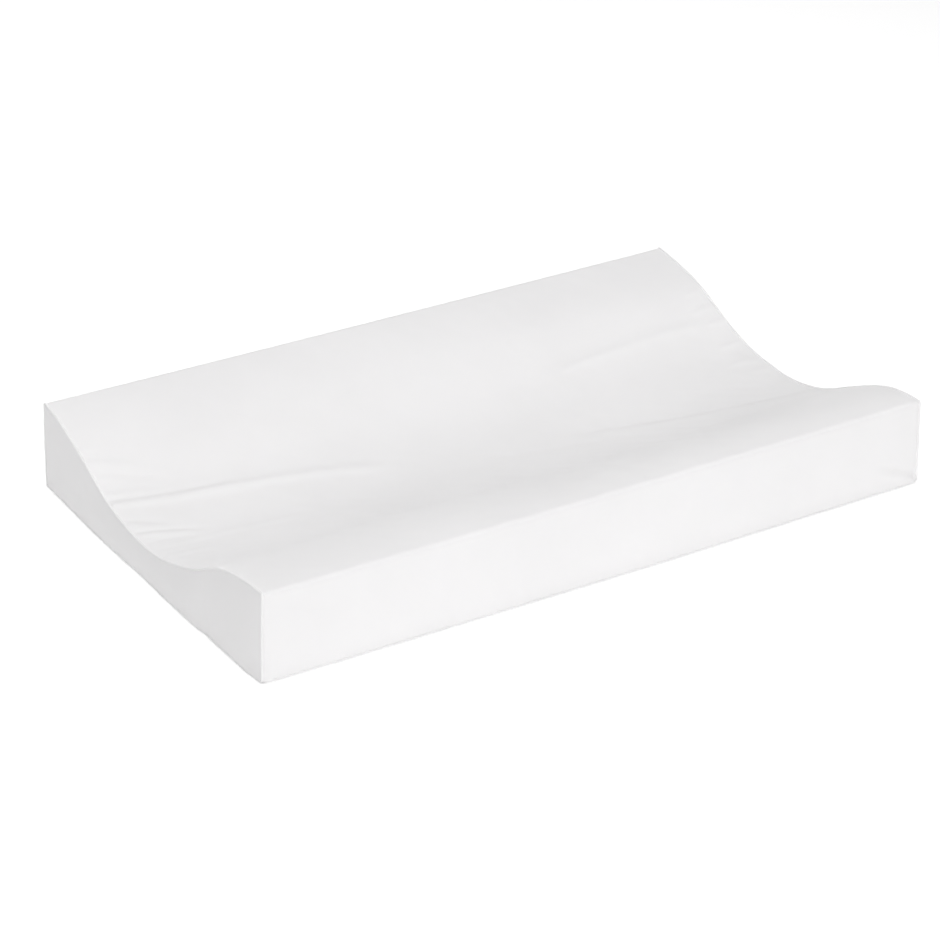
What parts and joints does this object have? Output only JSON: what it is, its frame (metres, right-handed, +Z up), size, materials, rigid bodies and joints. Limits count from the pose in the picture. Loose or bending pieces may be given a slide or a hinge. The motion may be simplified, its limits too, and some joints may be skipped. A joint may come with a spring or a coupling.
{
  "type": "changing pad",
  "caption": "Contoured baby changing pad: trough-shaped foam block in a white wipe-clean sewn cover, piped end panels, zip along the foot of the rear wall.",
  "frame": {"origin": "centre of the footprint, on the surface that the pad lies on", "axes": "+X along the pad's length, front wall at -Y, rear wall with the zip at +Y, +Z up"},
  "size_m": [0.72, 0.4438, 0.0903],
  "materials": {
    "coated_fabric": "white polyurethane-coated cloth, satin, wipe-clean",
    "piping_fabric": "the same coated cloth folded into a narrow bead",
    "base_fabric": "white coated cloth, matte",
    "foam": "open-cell polyurethane foam, cut",
    "zip_tape": "white woven polyester tape",
    "zip_coil": "white nylon coil",
    "zip_metal": "zinc alloy, white lacquer",
    "thread": "white polyester sewing thread"
  },
  "bodies": {
    "pad": {"foam_core": "foam", "cover_wrap": "coated_fabric", "cover_end_left": "coated_fabric", "cover_end_right": "coated_fabric", "cover_base": "base_fabric", "welt_left": "piping_fabric", "welt_right": "piping_fabric", "welt_base": "piping_fabric", "zip_tape_upper": "zip_tape", "zip_tape_lower": "zip_tape", "zip_coil_upper": "zip_coil", "zip_coil_lower": "zip_coil", "zip_stitch_upper": "thread", "zip_stitch_lower": "thread"},
    "slider": {"zip_slider": "zip_metal"},
    "pull": {"zip_pull": "zip_metal"}
  },
  "joints": [
    {"name": "zip_slide", "type": "slide", "parent": "pad", "child": "slider", "axis": [1, 0, 0], "range_m": [-0.65, 0]},
    {"name": "pull_flip", "type": "hinge", "parent": "slider", "child": "pull", "pos_m": [0.325, 0.2216, 0.024], "axis": [0, 0, -1], "range_deg": [0, 180]}
  ]
}
